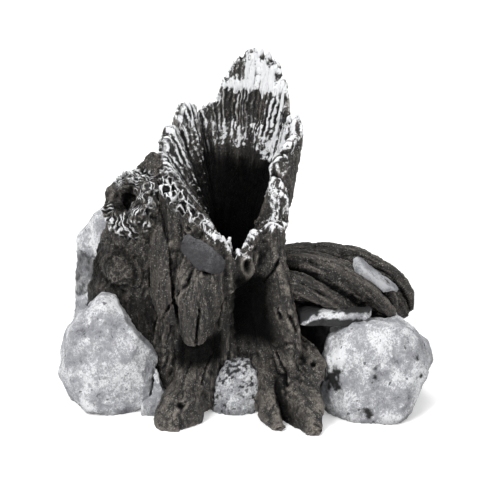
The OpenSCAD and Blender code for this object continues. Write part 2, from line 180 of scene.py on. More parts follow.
# Smaller splinters, each with its bearing, its half width and its height
SPLINTERS = [(131, 12, 9), (156, 12, 8), (12, 17, 22), (3, 38, 19)]
SPLINTER_BLUNT = 0.6
RIPPLE, RIPPLE_COUNT = 0.8, 11
COLUMN_R, MOUTH_FLARE, WALL_T, RIM_T = 24.5, 7.5, 8.5, 4.5
FLAP_OUT, FLAP_BEARING, FLAP_HALF = 3, 318, 13
LEAN_IN, LEAN_BEARING, LEAN_HALF = 7, 338, 14
THROAT_R, THROAT_SHIFT, CHAMBER_H, FUNNEL_CURVE = 10.5, 3, 27, 0.85
PORT_H, FLANGE_R = 17, 15


def turn_gap(bearing, middle):
    """Degrees from the middle bearing, between -180 and 180."""
    return (bearing - middle + 180) % 360 - 180


def smooth(t):
    """0 below 0, 1 above 1, and an even curve between."""
    t = np.clip(t, 0, 1)
    return t * t * (3 - 2 * t)


def band(value, low, high, soft):
    """1 between low and high, fading over soft outside."""
    return smooth((value - low) / soft + 1) * smooth((high - value) / soft + 1)


def sector(bearing, middle, half, soft):
    """1 within half of the middle bearing, fading over soft outside."""
    return smooth((half - np.abs(turn_gap(bearing, middle))) / soft + 1)


def lobe(bearing, middle, half):
    """A bell round the middle bearing."""
    return np.exp(-(turn_gap(bearing, middle) / half) ** 2)


def tooth(bearing, middle, half, blunt):
    """A hump within half of the middle bearing, with a blunter top for a smaller power."""
    d = np.abs(turn_gap(bearing, middle)) / half
    return np.where(d < 1, np.cos(np.pi / 2 * np.minimum(d, 1)) ** blunt, 0)


def slope_z(bearing):
    """Height of the mouth's slope, from the front lip up to the rear."""
    away = np.maximum(0, np.abs(turn_gap(bearing, LIP_BEARING)) - LIP_HALF) / (180 - LIP_HALF)
    return LIP_H + (REAR_RIM_H - LIP_H) * away ** SLOPE_CURVE


def rim_z(bearing):
    """Height of the rim with its splinters."""
    half = np.where(turn_gap(bearing, TALL_BEARING) < 0, TALL_HALF[0], TALL_HALF[1])
    tall = (STUMP_H - slope_z(TALL_BEARING)) * tooth(bearing, TALL_BEARING, half, TALL_BLUNT)
    small = [h * tooth(bearing, middle, width, SPLINTER_BLUNT) for middle, width, h in SPLINTERS]
    ripple = RIPPLE * np.sin(np.radians(bearing * RIPPLE_COUNT))
    return slope_z(bearing) + tall + np.max(small, axis=0) + ripple


def column_at(bearing, z):
    """Radius of the trunk without its roots: waist, flare of the mouth, flap and lean on the right."""
    flap = FLAP_OUT * lobe(bearing, FLAP_BEARING, FLAP_HALF) * np.exp(-((z - LIP_H - 13) / 11) ** 2)
    lean = LEAN_IN * lobe(bearing, LEAN_BEARING, LEAN_HALF) * smooth((z - LIP_H - 17) / 16)
    return COLUMN_R + MOUTH_FLARE * smooth((z - LIP_H - 4) / 38) + flap - lean


def inner_at(bearing, z):
    """Radius of the inside: a chamber, a throat set to the right, and a funnel up to the rim."""
    rim = rim_z(bearing)
    throat = THROAT_R + THROAT_SHIFT * np.cos(np.radians(bearing))
    throat_z = np.minimum(LIP_H + 7, rim - 12)
    climb = np.clip((z - throat_z) / (rim - throat_z), 0, 1)
    funnel = throat + (column_at(bearing, rim) - RIM_T - throat) * climb ** FUNNEL_CURVE
    chamber = COLUMN_R - WALL_T
    return np.where(climb > 0, funnel, chamber + (throat - chamber) * smooth((z - CHAMBER_H) / 18))


# Sculpting: a casting starts as its CAD node, is remeshed finely and carved by fields of noise

WELD = 0.001
BRUSHED_RELIEF = (-0.8, 0.6)


class Casting:
    """A copy of a CAD node's mesh, remeshed, worn smooth and ready to be carved and painted."""

    def __init__(self, node, name, voxel, soften):
        bpy.ops.object.select_all(action="DESELECT")
        self.piece = bpy.data.objects.new(name, frame["nodes"][node].data.copy())
        bpy.context.collection.objects.link(self.piece)
        self.piece.select_set(True)
        bpy.context.view_layer.objects.active = self.piece
        bpy.ops.object.mode_set(mode="EDIT")
        bpy.ops.mesh.select_all(action="SELECT")
        bpy.ops.mesh.remove_doubles(threshold=WELD * MM)
        bpy.ops.object.mode_set(mode="OBJECT")
        remesh = self.piece.modifiers.new("remesh", "REMESH")
        remesh.mode = "VOXEL"
        remesh.voxel_size = voxel * MM
        bpy.ops.object.modifier_apply(modifier=remesh.name)
        self.drop_specks()
        worn = self.piece.modifiers.new("worn", "SMOOTH")
        worn.factor = 0.5
        worn.iterations = soften
        bpy.ops.object.modifier_apply(modifier=worn.name)
        self.node = node
        self.read()

    def drop_specks(self):
        """Keeps the shell with the highest point, because the remesh can leave a lone voxel beside it."""
        top = max(self.piece.data.vertices, key=lambda vertex: vertex.co.z).index
        bpy.ops.object.mode_set(mode="EDIT")
        bpy.ops.mesh.select_all(action="DESELECT")
        bpy.ops.object.mode_set(mode="OBJECT")
        self.piece.data.vertices[top].select = True
        bpy.ops.object.mode_set(mode="EDIT")
        bpy.ops.mesh.select_linked()
        bpy.ops.mesh.select_all(action="INVERT")
        bpy.ops.mesh.delete(type="VERT")
        bpy.ops.object.mode_set(mode="OBJECT")

    def read(self):
        """Reads the edges, and the points and normals in millimetres."""
        mesh = self.piece.data
        edges = np.empty(len(mesh.edges) * 2, np.int32)
        mesh.edges.foreach_get("vertices", edges)
        self.edges = edges.reshape(-1, 2)
        count = len(mesh.vertices)
        points = np.empty(count * 3, np.float32)
        mesh.vertices.foreach_get("co", points)
        self.points = points.reshape(-1, 3).astype(float) / MM
        normals = np.empty(count * 3, np.float32)
        mesh.vertices.foreach_get("normal", normals)
        self.normals = normals.reshape(-1, 3).astype(float)

    def refine(self, chosen, cuts):
        """Splits the four-cornered faces between chosen points, for carving finer than the voxels."""
        mesh = self.piece.data
        corners = np.empty(len(mesh.loops), np.int32)
        mesh.loops.foreach_get("vertex_index", corners)
        mesh.vertices.foreach_set("select", chosen)
        mesh.edges.foreach_set("select", chosen[self.edges].all(1))
        mesh.polygons.foreach_set("select", chosen[corners.reshape(-1, 4)].all(1))
        bpy.ops.object.mode_set(mode="EDIT")
        bpy.ops.mesh.subdivide(number_cuts=cuts)
        bpy.ops.object.mode_set(mode="OBJECT")
        self.read()

    def move(self, points):
        """Gives every point a new place, in millimetres."""
        self.piece.data.vertices.foreach_set("co", (points * MM).astype(np.float32).ravel())
        self.piece.data.update()
        self.read()

    def push(self, height):
        """Moves every point along its normal, and never below the floor or outside the node's box."""
        low, high = (np.array(corner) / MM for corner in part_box(self.node))
        self.move(np.clip(self.points + self.normals * height[:, None], low, high))

    def blur(self, values, rounds):
        """Each point's value averaged with its neighbours', over and over."""
        count = len(values)
        a, b = self.edges[:, 0], self.edges[:, 1]
        degree = np.bincount(a, minlength=count) + np.bincount(b, minlength=count)
        for _ in range(rounds):
            total = np.bincount(a, values[b], count) + np.bincount(b, values[a], count)
            values = 0.5 * values + 0.5 * total / np.maximum(degree, 1)
        return values

    def softened(self, rounds):
        """The points of the shape without its small details."""
        return np.stack([self.blur(self.points[:, k], rounds) for k in range(3)], axis=1)

    def melt(self, share, rounds):
        """Rounds the shape, each point by its share."""
        self.move(self.points + share[:, None] * (self.softened(rounds) - self.points))

    def relief(self, rounds):
        """How far each point stands out of the surface round it, in millimetres."""
        return ((self.points - self.softened(rounds)) * self.normals).sum(1)

    def keep(self, name, values):
        """Keeps a number or a direction for every point, for the material to read."""
        flat = values.ndim == 1
        layer = self.piece.data.attributes.new(name, "FLOAT" if flat else "FLOAT_VECTOR", "POINT")
        layer.data.foreach_set("value" if flat else "vector", values.astype(np.float32).ravel())

    def keep_relief(self, rounds):
        """Keeps the relief for the brush, which no longer tells high crests and deep hollows apart."""
        self.keep("relief", np.clip(self.relief(rounds), *BRUSHED_RELIEF))

    def done(self, material):
        """Paints the piece, which then stands for its CAD node on the ornament."""
        self.piece.data.polygons.foreach_set("use_smooth", [True] * len(self.piece.data.polygons))
        self.piece.data.materials.clear()
        self.piece.data.materials.append(material)
        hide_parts(self.node)
        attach(self.piece, "ornament")


def cloud(points, size, octaves=3):
    """Soft noise with features of the given size in millimetres, about -1 to 1."""
    return np.array([noise.fractal(p, 0.9, 2.0, octaves) for p in (points / size).tolist()])


def ridges(points, size, octaves=2):
    """Noise with sharp crests, about -1 to 1."""
    crest = [noise.ridged_multi_fractal(p, 1.0, 2.0, octaves, 1.0, 2.0) for p in (points / size).tolist()]
    return np.array(crest) - 1.0


def from_line(points, places):
    """Distance of every point from a line through the given places."""
    far = np.full(len(points), np.inf)
    for start, end in zip(places, places[1:]):
        start, run = np.array(start), np.array(end) - np.array(start)
        along = np.clip((points - start) @ run / (run @ run), 0, 1)
        far = np.minimum(far, np.linalg.norm(points - start - along[:, None] * run, axis=1))
    return far


def cells(points, size):
    """Distance to the nearest and to the second nearest cell middle, in cells."""
    near = [noise.voronoi(p)[0] for p in (points / size).tolist()]
    return np.array([d[0] for d in near]), np.array([d[1] for d in near])


# Materials

def finish_burnt_resin():
    """Cast resin painted as burnt wood: charcoal brown with a slight sheen and painted glints, fibres
    along the grain, paler where the brush caught a crest, black in the hollows with a dark wash and
    painted shade, and dry-brushed white on the mouth."""
    material, tree, shader, place = new_finish("burnt_resin")
    # Attributes from the mesh; one holds painted shade, with some dark paint, laid on as black
    relief, dark_paint_and_shade, white, lines, gaps, phase, comb, cell = (
        add(tree, "ShaderNodeAttribute", {"attribute_name": kept}, out="Fac")
        for kept in ("relief", "dark_paint_and_shade", "white", "lines", "gaps", "phase", "comb", "cell"))
    grain = add(tree, "ShaderNodeAttribute", {"attribute_name": "grain"}, out="Vector")
    # Patches of paint 10 mm across, zones of 25 mm, grit of 0.8 mm, and pores and painted glints of 0.5 mm
    patch = add(tree, "ShaderNodeTexNoise", Vector=place, Scale=100.0, Detail=5.0, Roughness=0.65)
    zone = add(tree, "ShaderNodeTexNoise", Vector=place, Scale=40.0, Detail=2.0)
    grit = add(tree, "ShaderNodeTexNoise", Vector=place, Scale=1250.0, Detail=3.0, Roughness=0.7)
    glint = add(tree, "ShaderNodeTexNoise", Vector=place, Scale=2000.0, Detail=2.0)
    # Along the grain, which counts in fibres of 1.2 by 12 mm: fibres, veins of 4 mm, wrinkles of 0.8 mm
    fibre = add(tree, "ShaderNodeTexNoise", Vector=grain, Scale=1.0, Detail=4.0, Roughness=0.7)
    vein = add(tree, "ShaderNodeTexNoise", Vector=grain, Scale=0.3, Detail=3.0, Roughness=0.6)
    wrinkle = add(tree, "ShaderNodeTexNoise", Vector=grain, Scale=1.5, Detail=3.0, Roughness=0.7)
    base = add(tree, "ShaderNodeValToRGB", Fac=patch)
    dark, light = base.node.color_ramp.elements
    dark.position = 0.35
    dark.color = paint("#1b1918")
    light.position = 0.65
    light.color = paint("#403b36")
    # The brush catches crests of the carving, of the fibres and of the grit, which is strong in some zones
    gritty = add(tree, "ShaderNodeMapRange", Value=zone, From_Min=0.42, From_Max=0.6, To_Min=0.7, To_Max=2.4)
    even = add(tree, "ShaderNodeMath", {"operation": "SUBTRACT"}, i0=grit, i1=0.5)
    rough = add(tree, "ShaderNodeMath", {"operation": "ADD"}, i0=fibre, i1=relief)
    crest = add(tree, "ShaderNodeMath", {"operation": "MULTIPLY_ADD"}, i0=even, i1=gritty, i2=rough)
    brushed = add(tree, "ShaderNodeMapRange", Value=crest, From_Min=0.55, From_Max=1.05, To_Max=0.9)
    wash = add(tree, "ShaderNodeMapRange", Value=crest, From_Min=0.42, From_Max=0.12, To_Max=0.97)
    line = add(tree, "ShaderNodeMath", {"operation": "COMPARE"}, i0=vein, i1=0.5, i2=0.02)
    veined = add(tree, "ShaderNodeMath", {"operation": "MULTIPLY"}, i0=line, i1=0.85)
    pores = add(tree, "ShaderNodeMapRange", Value=glint, From_Min=0.4, From_Max=0.34, To_Max=0.8)
    # Pale flecks are painted glints, highlights that stand in for the sheen on the grit
    flecks = add(tree, "ShaderNodeMapRange", Value=glint, From_Min=0.65, From_Max=0.71, To_Max=0.85)
    # Torn wood shows as white lines with black gaps, and the lip as white walls round black pits;
    # the black in the gaps and pits is painted shade
    wave = add(tree, "ShaderNodeMath", {"operation": "SINE"}, i0=phase)
    ragged = add(tree, "ShaderNodeMath", {"operation": "MULTIPLY_ADD"}, i0=grit, i1=1.6, i2=wave)
    most_gap = add(tree, "ShaderNodeMath", {"operation": "MULTIPLY"}, i0=gaps, i1=0.9)
    most_pit = add(tree, "ShaderNodeMath", {"operation": "MULTIPLY"}, i0=comb, i1=0.95)
    line_top = add(tree, "ShaderNodeMapRange", Value=ragged, From_Min=1.1, From_Max=1.5, To_Max=lines)
    line_gap = add(tree, "ShaderNodeMapRange", Value=ragged, From_Min=0.6, From_Max=0.1, To_Max=most_gap)
    cell_wall = add(tree, "ShaderNodeMapRange", Value=cell, From_Min=0.16, From_Max=0.07, To_Max=comb)
    cell_pit = add(tree, "ShaderNodeMapRange", Value=cell, From_Min=0.18, From_Max=0.34, To_Max=most_pit)
    top = add(tree, "ShaderNodeMath", {"operation": "MAXIMUM"}, i0=line_top, i1=cell_wall)
    gap = add(tree, "ShaderNodeMath", {"operation": "MAXIMUM"}, i0=line_gap, i1=cell_pit)
    # The black is painted shade: in gaps and pits, and where the mesh holds it
    black = add(tree, "ShaderNodeMath", {"operation": "MAXIMUM"}, i0=gap, i1=dark_paint_and_shade)
    # White paint sits on crests first, so relief and grit decide where a part-white mask shows
    reach = add(tree, "ShaderNodeMath", {"operation": "MULTIPLY_ADD"}, i0=relief, i1=0.9, i2=white)
    broken = add(tree, "ShaderNodeMath", {"operation": "ADD"}, i0=grit, i1=reach)
    gate = add(tree, "ShaderNodeMapRange", Value=white, From_Min=0.02, From_Max=0.15)
    shown = add(tree, "ShaderNodeMapRange", Value=broken, From_Min=0.95, From_Max=1.2, To_Max=gate)
    clear = add(tree, "ShaderNodeMath", {"operation": "SUBTRACT"}, i0=1.0, i1=gap)
    shown = add(tree, "ShaderNodeMath", {"operation": "MULTIPLY"}, i0=shown, i1=clear)
    shown = add(tree, "ShaderNodeMath", {"operation": "MAXIMUM"}, i0=shown, i1=top)
    # The white itself is wrinkled along the grain
    worn = add(tree, "ShaderNodeMapRange", Value=wrinkle, From_Min=0.42, From_Max=0.34, To_Max=0.8)
    pale = add(tree, "ShaderNodeMix", {"data_type": "RGBA"}, out=2, i0=worn,
               i6=paint("#f3f4f6"), i7=paint("#6a6866"))
    # Coats of paint from the first to the last, each with where it lies and its colour: the flecks are
    # painted glints, and the black is painted shade
    coats = [(brushed, paint("#7f786f")), (wash, paint("#070606")), (veined, paint("#040404")),
             (pores, paint("#080707")), (flecks, paint("#c8c3bb")), (black, paint("#030303")), (shown, pale)]
    colour = base
    for where, coat in coats:
        colour = add(tree, "ShaderNodeMix", {"data_type": "RGBA"}, out=2, i0=where, i6=colour, i7=coat)
    tree.links.new(colour, shader.inputs["Base Color"])
    sheen = add(tree, "ShaderNodeMapRange", Value=grit, From_Min=0.3, From_Max=0.7, To_Min=0.3, To_Max=0.7)
    tree.links.new(sheen, shader.inputs["Roughness"])
    gloss = add(tree, "ShaderNodeMapRange", Value=dark_paint_and_shade, To_Min=0.5, To_Max=0.05)
    tree.links.new(gloss, shader.inputs["Specular IOR Level"])
    along = add(tree, "ShaderNodeBump", Strength=1.0, Distance=1.6 * MM, Height=fibre)
    bump = add(tree, "ShaderNodeBump", Strength=0.9, Distance=0.9 * MM, Height=grit, Normal=along)
    pitted = add(tree, "ShaderNodeBump", {"invert": True}, Distance=1.0 * MM, Height=gap, Normal=bump)
    tree.links.new(pitted, shader.inputs["Normal"])
    return material


def finish_boulder_resin(name, low, mid, top):
    """Cast resin painted as stone: smooth grey clouds, a fine mottle and scratches of white on the rough
    faces, small dark pits, and black for the painted shade and dark patches that the mesh holds."""
    material, tree, shader, place = new_finish(name)
    relief, dark_paint_and_shade = (add(tree, "ShaderNodeAttribute", {"attribute_name": kept}, out="Fac")
                    for kept in ("relief", "dark_paint_and_shade"))
    # Clouds of paint 11 mm across, flecks of 0.8 by 1.1 mm that lie one way, scratches round blots of
    # 2.5 mm, and pits 2.4 mm apart
    zone = add(tree, "ShaderNodeTexNoise", Vector=place, Scale=90.0, Detail=3.0, Roughness=0.6)
    drawn = add(tree, "ShaderNodeMapping", Vector=place, Rotation=(0.6, 0.5, 0.2), Scale=(1.0, 1.0, 0.7))
    mottle = add(tree, "ShaderNodeTexNoise", Vector=drawn, Scale=1300.0, Detail=5.0, Roughness=0.75)
    blots = add(tree, "ShaderNodeTexNoise", Vector=place, Scale=400.0, Detail=4.0, Roughness=0.7)
    pits = add(tree, "ShaderNodeTexNoise", Vector=place, Scale=420.0, Detail=1.0)
    base = add(tree, "ShaderNodeValToRGB", Fac=zone)
    dark, light = base.node.color_ramp.elements
    dark.position = 0.36
    dark.color = paint(low)
    light.position = 0.62
    light.color = paint(mid)
    # The brush catches crests and the rough zones, and leaves the others smooth and grey
    cloudy = add(tree, "ShaderNodeMath", {"operation": "MULTIPLY_ADD"}, i0=zone, i1=0.95, i2=mottle)
    crest = add(tree, "ShaderNodeMath", {"operation": "MULTIPLY_ADD"}, i0=relief, i1=0.3, i2=cloudy)
    brushed = add(tree, "ShaderNodeMapRange", Value=crest, From_Min=1.03, From_Max=1.12, To_Max=0.85)
    rough = add(tree, "ShaderNodeMapRange", Value=zone, From_Min=0.42, From_Max=0.56,
                To_Min=0.2, To_Max=0.95)
    scratch = add(tree, "ShaderNodeMath", {"operation": "COMPARE"}, i0=blots, i1=0.52, i2=0.02)
    scored = add(tree, "ShaderNodeMath", {"operation": "MULTIPLY"}, i0=scratch, i1=rough)
    wash = add(tree, "ShaderNodeMapRange", Value=crest, From_Min=0.85, From_Max=0.68, To_Max=0.8)
    hole = add(tree, "ShaderNodeMapRange", Value=pits, From_Min=0.7, From_Max=0.76, To_Max=0.8)
    # Coats of paint from the first to the last, each with where it lies and its colour; the last is black,
    # for painted shade and dark patches
    coats = [(brushed, top), (scored, top), (wash, "#4c4c51"), (hole, "#3a3a3e"), (dark_paint_and_shade, "#101011")]
    colour = base
    for where, coat in coats:
        colour = add(tree, "ShaderNodeMix", {"data_type": "RGBA"}, out=2,
                     i0=where, i6=colour, i7=paint(coat))
    tree.links.new(colour, shader.inputs["Base Color"])
    shader.inputs["Roughness"].default_value = 0.75
    bump = add(tree, "ShaderNodeBump", Strength=1.0, Distance=0.9 * MM, Height=mottle)
    tree.links.new(bump, shader.inputs["Normal"])
    return material


burnt_resin = finish_burnt_resin()
boulder_resin = finish_boulder_resin("boulder_resin", "#929398", "#adaeb2", "#ebecee")
grey_resin = finish_boulder_resin("grey_resin", "#2e2d30", "#403f42", "#5c5b5f")
slate_resin = finish_boulder_resin("slate_resin", "#7b7c81", "#97989c", "#c2c3c6")


# Wood

# Size of a fibre across and along the grain, and the radius that the bark is laid out on
FIBRE = np.array([1.2, 1.2, 12.0])
BARK_R = 28
# Bearings of the honeycomb, of the front lip beside it, and of the tall splinter's inner face
COMB_BEARING, FRONT_LIP_BEARING, REAR_BEARING = 214, 262, 62
# Twigs broken off short, a bump beside them, and small holes in the feet, the knee and under the lip
TWIG, OVAL_TWIG, BUMP = (-23.2, -18.1, 82.6), (1.2, -20, 66.3), (-30.7, -15.6, 74.9)
PITS = [(-27.6, -40, 9), (-36, -33, 7), (29.8, -27.1, 23.2), (-16.3, -26.2, 65.6)]
# Cracks: beside the plates, down the front plate, along the front legs, over the arch and beside the twig
CRACKS = [
    [(-21.9, -25.5, 66.6), (-24, -27.4, 60.5), (-32.9, -23.4, 47.9), (-35.8, -19.4, 40.7)],
    [(-18.9, -32, 50), (-19.3, -31.1, 46.4), (-20.3, -30.1, 39), (-20.6, -29, 31.5)],
    [(-15.2, -27.3, 38.3), (-16.1, -27.3, 34)],
    [(-26.6, -26.9, 27.8), (-29.9, -23.7, 18.9)],
    [(14.6, -20.6, 46.7), (15.5, -21.4, 42.4)],
    [(19.3, -22.5, 43.8), (21.5, -23.6, 40), (23.3, -23.4, 37.6)],
    [(13.8, -24.2, 27.6), (15.9, -27.2, 23.2), (17.7, -28.7, 20.1), (18.5, -30.7, 14.3)],
    [(-13.6, -24.3, 26.7), (-16.4, -28, 22.5), (-18.1, -31.4, 15.5)],
    [(-8.8, -21.3, 51.7), (-9.7, -20.8, 45.9), (-10.6, -20.7, 38.4)],
    [(8.5, -17.4, 57.6), (12.4, -18.8, 63.2), (14.9, -18.4, 68.1)],
]
# Ridge from the twig's edge down to the left, and the edge of the right leg
RIDGES = [
    [(5.5, -17.1, 69.5), (3.6, -18.7, 64.5), (1.2, -19.5, 60.7), (-1.9, -18.1, 56.9), (-5.3, -19.6, 54.2)],
    [(18.6, -20.4, 56), (18.9, -21.2, 50.7), (19.8, -22.5, 45)],
]


def polar(points):
    """Offset from the trunk's axis, distance from it and bearing, for every point."""
    flat = points[:, :2] - AXIS
    return flat, np.hypot(flat[:, 0], flat[:, 1]), np.degrees(np.arctan2(flat[:, 1], flat[:, 0])) % 360


def crack_at(points):
    """1 in the middle of a crack, fading to 0 a millimetre from it."""
    wander = 0.5 * cloud(points, 3.0, 2)
    far = np.min([from_line(points, line) for line in CRACKS], axis=0)
    return smooth(1.2 - (far + wander) / 0.8)


def bark_place(points):
    """Points laid out along the grain, which climbs the roots and then the trunk."""
    flat, radius, _ = polar(points)
    way = flat / np.maximum(radius, 1)[:, None]
    run = points[:, 2] - np.maximum(radius - COLUMN_R, 0)
    return np.column_stack([way * BARK_R, run])


def grain_relief(grain):
    """Wood grain in millimetres: broad furrows, narrow grain and short cracks along them."""
    wavy = grain + 1.5 * np.column_stack([cloud(grain + k, 12.0, 2) for k in (5, 43, 71)])
    furrow = 0.75 * ridges(wavy, np.array([5.0, 5.0, 45.0]))
    fine = 0.5 * cloud(wavy, np.array([1.6, 1.6, 14.0]))
    line = np.abs(cloud(wavy + 31, np.array([7.0, 7.0, 75.0]), 1))
    crack = smooth(1 - line / 0.06) * smooth(cloud(grain, 14.0, 1) * 3 + 0.3)
    return furrow + fine - 1.2 * crack


class StumpField:
    """Where every point of the stump lies, and the zones that its carving and its paint share, as 0 to 1."""

    def __init__(self, stump):
        self.points = stump.points
        self.z = self.points[:, 2]
        flat, self.radius, self.bearing = polar(self.points)
        self.way = flat / np.maximum(self.radius, 1)[:, None]
        self.below = rim_z(self.bearing) - self.z
        # Below the lip, a face that looks outwards is bark, however thin the wall
        middle = (inner_at(self.bearing, self.z) + column_at(self.bearing, self.z)) / 2
        facing = (stump.normals[:, :2] * self.way).sum(1)
        bark = smooth(0.5 + 2 * facing) * smooth((LIP_H - 5 - self.z) / 4)
        self.inside = smooth((middle - self.radius) / 1.5 + 0.5) * (1 - bark)
        self.outside = 1 - self.inside
        self.grain = bark_place(self.points)
        self.around = np.column_stack([self.way * BARK_R, np.zeros(len(self.points))])
        self.mark_bark()
        self.mark_mouth()

    def sector(self, middle, half, soft):
        """1 within half of the middle bearing, fading over soft outside."""
        return sector(self.bearing, middle, half, soft)

    def spot(self, x, y, height, tall=1.0):
        """Distance from a place on the bark, shrunk upwards by tall."""
        return np.hypot(np.hypot(self.points[:, 0] - x, self.points[:, 1] - y), (self.z - height) / tall)

    def mark_bark(self):
        """The cave between the front legs, the gap between the right leg's toes, twigs, holes and cracks."""
        self.cave = self.sector(293, 13, 8) * band(self.z, 33, 58, 9) * self.outside
        self.parted = lobe(self.bearing, 299 + self.z / 6, 3) * smooth((34 - self.z) / 20) * self.outside
        self.twig = self.spot(*TWIG)
        self.oval = self.spot(*OVAL_TWIG, tall=1.7)
        pits = np.min([self.spot(*place) for place in PITS], axis=0)
        hollows = smooth(1.9 - np.minimum(self.oval, pits))
        self.holes = np.maximum(smooth(1.6 - self.twig), hollows)
        self.crack = crack_at(self.points) * self.outside

    def mark_mouth(self):
        """Flutes, the honeycomb on the lip, and torn lines on the left wall and on the tall splinter."""
        p, z, below = self.points, self.z, self.below
        self.flute = ridges(self.grain, np.array([2.6, 2.6, 60.0]), 3)
        self.behind = self.sector(REAR_BEARING, 42, 8) * self.inside
        lip = self.sector(COMB_BEARING, 24, 6) * smooth(1.05 - below / 4.5)
        self.comb = lip * smooth(1.0 + 1.5 * cloud(p, 5.0, 2))
        bent = p + 0.4 * np.column_stack([cloud(p + k, 3.0, 2) for k in (7, 29, 53)])
        first, second = cells(bent, 3.2)
        self.cell = second - first
        self.fan = self.sector(150, 36, 8) * self.inside * smooth(1 - below / 36)
        grooves = self.behind * band(z, 115, 130, 3)
        torn = smooth(0.55 + 1.6 * cloud(p, 4.0, 3))
        patchy = 1.4 * cloud(p + 19, 6.0, 3)
        streaky = smooth(0.3 + 2.2 * cloud(self.around + 11, 5.0, 2))
        # A line every 4.5 degrees, which wanders
        self.phase = 2 * np.pi * self.bearing / 4.5 + 2.4 * cloud(p, 8.0, 2) + 1.6 * cloud(p, 2.5, 3)
        self.gaps = np.maximum(self.fan * smooth(0.75 + patchy), grooves * smooth(0.8 + patchy))
        fan_lines = 0.95 * self.fan * smooth(1.3 - below / 16)
        groove_lines = 0.85 * grooves * smooth((z - 108) / 20) * streaky
        self.lines = np.maximum(fan_lines, groove_lines) * torn


def torn_stump(at):
    """The stump's points with a ragged rim, feet round at the floor, and a flap under a leaning wall."""
    moved = at.points.copy()
    # The edge drops between splinters a few millimetres wide
    moved[:, 2] -= np.maximum(0, cloud(at.around, 2.6, 3) + 0.2) * 3.5 * smooth(1 - at.below / 9) ** 2
    tuck = 1.5 * at.outside * smooth(1 - at.z / 8) ** 2 * smooth((at.radius - 30) / 6)
    flap = 2.2 * lobe(at.bearing, 316, 10) * np.exp(-((at.z - LIP_H - 15) / 8) ** 2)
    lean = 3.0 * lobe(at.bearing, LEAN_BEARING, 12) * smooth((at.z - LIP_H - 27) / 10)
    moved[:, :2] += at.way * (flap - lean - tuck)[:, None]
    return moved


def bark_carving(at):
    """Height of the stump's bark in millimetres, with its toes, twigs, holes, cracks and ridges."""
    p, z = at.points, at.z
    grained = grain_relief(at.grain) * (1 - 0.7 * at.cave)
    height = at.outside * (grained + 0.5 * cloud(p, 6.0) + 0.3 * cloud(p, 1.6) + 0.4 * ridges(p, 3.2))
    # Toes are thick and round, with a deep gap between those of the right leg
    toe = at.outside * smooth((18 - z) / 8) * smooth((at.radius - 36) / 8) * (p[:, 1] < 0)
    height += 3.2 * toe * (1 - at.parted) - 1.5 * at.parted * smooth((at.radius - 34) / 6)
    # The bark rises to meet the upper half of the front plate
    height += 2.2 * at.outside * at.sector(248, 13, 8) * smooth((z - 46) / 8) * smooth((69 - z) / 7)
    # Twigs broken off short leave rings and a bump
    height += 1.6 * np.exp(-((at.twig - 2.0) / 0.8) ** 2) + 1.2 * np.exp(-((at.oval - 2.4) / 0.8) ** 2)
    height += 1.8 * np.exp(-(at.spot(*BUMP) / 2.2) ** 2)
    height -= 1.3 * at.holes + 1.5 * at.crack
    ridge_far = np.min([from_line(p, line) for line in RIDGES], axis=0)
    return height + 1.3 * at.outside * np.exp(-(ridge_far / 1.1) ** 2)


def mouth_carving(at):
    """Height of the mouth's carving in millimetres: flutes, a ledge, a honeycomb, lumps and torn lines."""
    p = at.points
    height = at.inside * (at.flute * (0.5 + 0.5 * smooth(1 - at.below / 38)) + 0.4 * cloud(p, 2.0))
    ledge_z = 116 + 2.5 * cloud(at.around, 4.0, 2)
    height -= 1.3 * at.inside * smooth((at.z - ledge_z) / 2.0) * at.sector(68, 40, 10)
    height -= 1.2 * at.comb * smooth((at.cell - 0.12) / 0.3)
    lumps = at.sector(FRONT_LIP_BEARING, 16, 6) * smooth(1 - at.below / 7)
    return height + 0.8 * lumps * cloud(p, 1.8) + 0.5 * at.gaps * np.sin(at.phase)


def stump_painted_shade(at, crease):
    """Painted shade: black inside below the lit edge, in the cave, under the plates, between toes, in holes,
    creases and cracks.
    """
    left_wall = at.sector(178, 48, 14) * at.inside
    flap_face = at.sector(322, 22, 8) * at.inside
    # The painted shade starts deeper on the left wall and the flap's face, which catch the light, and is
    # weaker on the left wall's ridges
    lit = 5 + 6 * left_wall + 18 * flap_face
    ridge = smooth(0.5 + 1.2 * at.flute)
    throat = smooth((at.below - lit) / 16) * (1 - 0.3 * ridge * left_wall * smooth(1 - at.below / 50))
    rear_dark = smooth((111 + 4 * cloud(at.around, 5.0, 2) - at.z) / 14)
    dark_inside = at.inside * (throat + at.behind * (rear_dark - throat))
    under = at.sector(246, 15, 6) * band(at.z, 25, 33, 6) * at.outside
    dark_paint_and_shade = np.maximum.reduce([dark_inside, at.cave, 0.95 * under, 0.9 * at.parted,
                              0.85 * crease * at.outside, at.holes, at.crack])
    return np.clip(dark_paint_and_shade, 0, 0.98 - 0.12 * at.inside * smooth(1 - at.below / 45))


